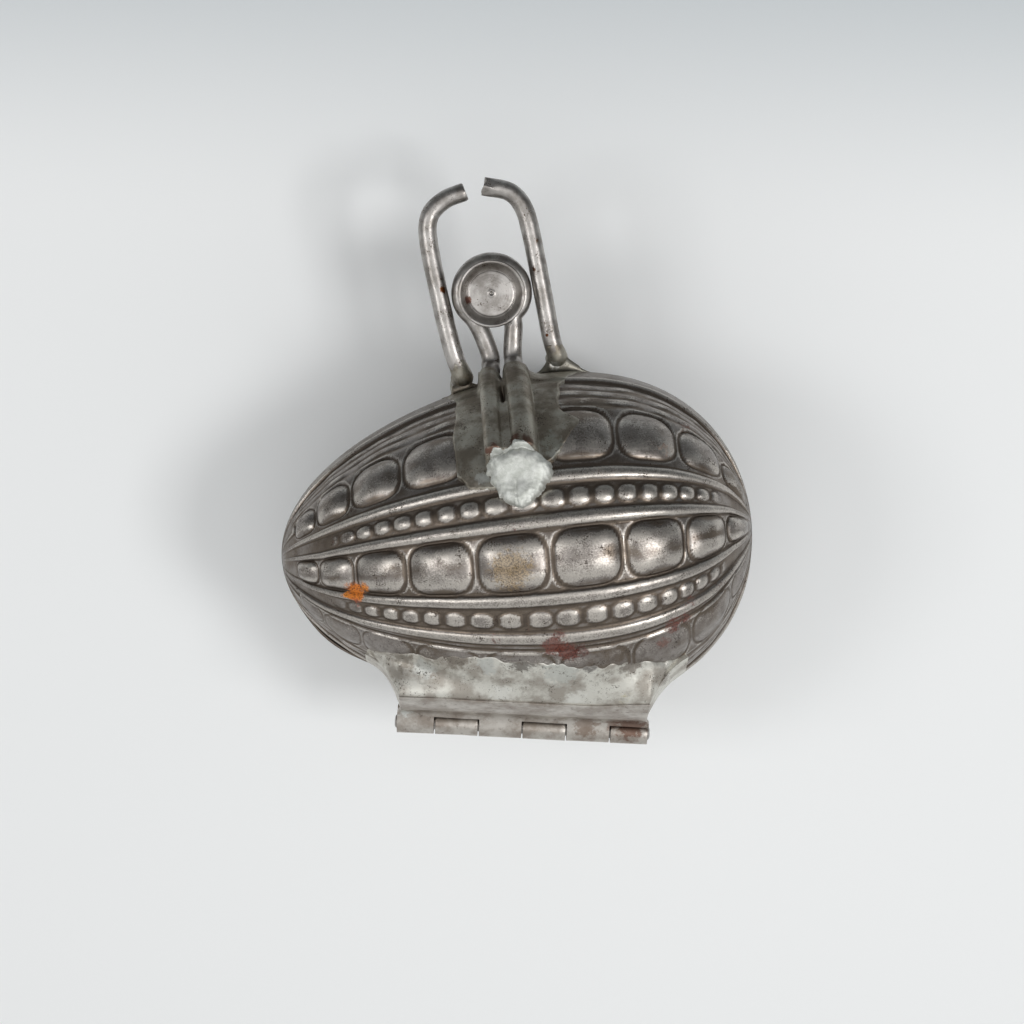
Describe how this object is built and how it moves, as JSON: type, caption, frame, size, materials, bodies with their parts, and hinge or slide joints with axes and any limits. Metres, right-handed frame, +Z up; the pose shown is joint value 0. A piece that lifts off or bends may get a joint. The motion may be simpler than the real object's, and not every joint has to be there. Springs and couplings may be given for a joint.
{
  "type": "hinged chocolate mould",
  "caption": "Egg-shaped pressed tinplate mould in two hinged half shells with a wire loop catch and solder joints.",
  "frame": {"origin": "middle of the footprint, on the surface that the back half lies on", "axes": "+X along the hinge towards the egg's blunt end, +Y from the hinge to the wire handle, +Z up through the closed mould from its back half to its front half"},
  "size_m": [0.1006, 0.1204, 0.0711],
  "materials": {
    "aged_tinplate": "aged, darkened between the bosses, bright on their tops",
    "rolled_tinplate": "aged, worn bright on the knuckles",
    "tinned_wire": "smooth, with a few rust specks",
    "dull_solder": "dull, uneven, run out by hand",
    "bright_solder": "frosted, bright"
  },
  "bodies": {
    "back_half": {"back_shell": "aged_tinplate", "back_hinge_leaf": "rolled_tinplate", "hinge_pin": "tinned_wire", "back_hinge_solder": "dull_solder", "left_catch_arm": "tinned_wire", "right_catch_arm": "tinned_wire", "left_arm_solder": "dull_solder", "right_arm_solder": "dull_solder"},
    "front_half": {"front_shell": "aged_tinplate", "front_hinge_leaf": "rolled_tinplate", "front_hinge_solder": "dull_solder", "catch_loop": "tinned_wire", "catch_cup": "tinned_wire", "loop_leg_solder": "dull_solder", "loop_end_solder": "bright_solder"}
  },
  "joints": [
    {"name": "mould_hinge", "type": "hinge", "parent": "back_half", "child": "front_half", "pos_m": [-0.00001, -0.05784, 0.03537], "axis": [1, 0, 0], "range_deg": [0, 180]}
  ]
}
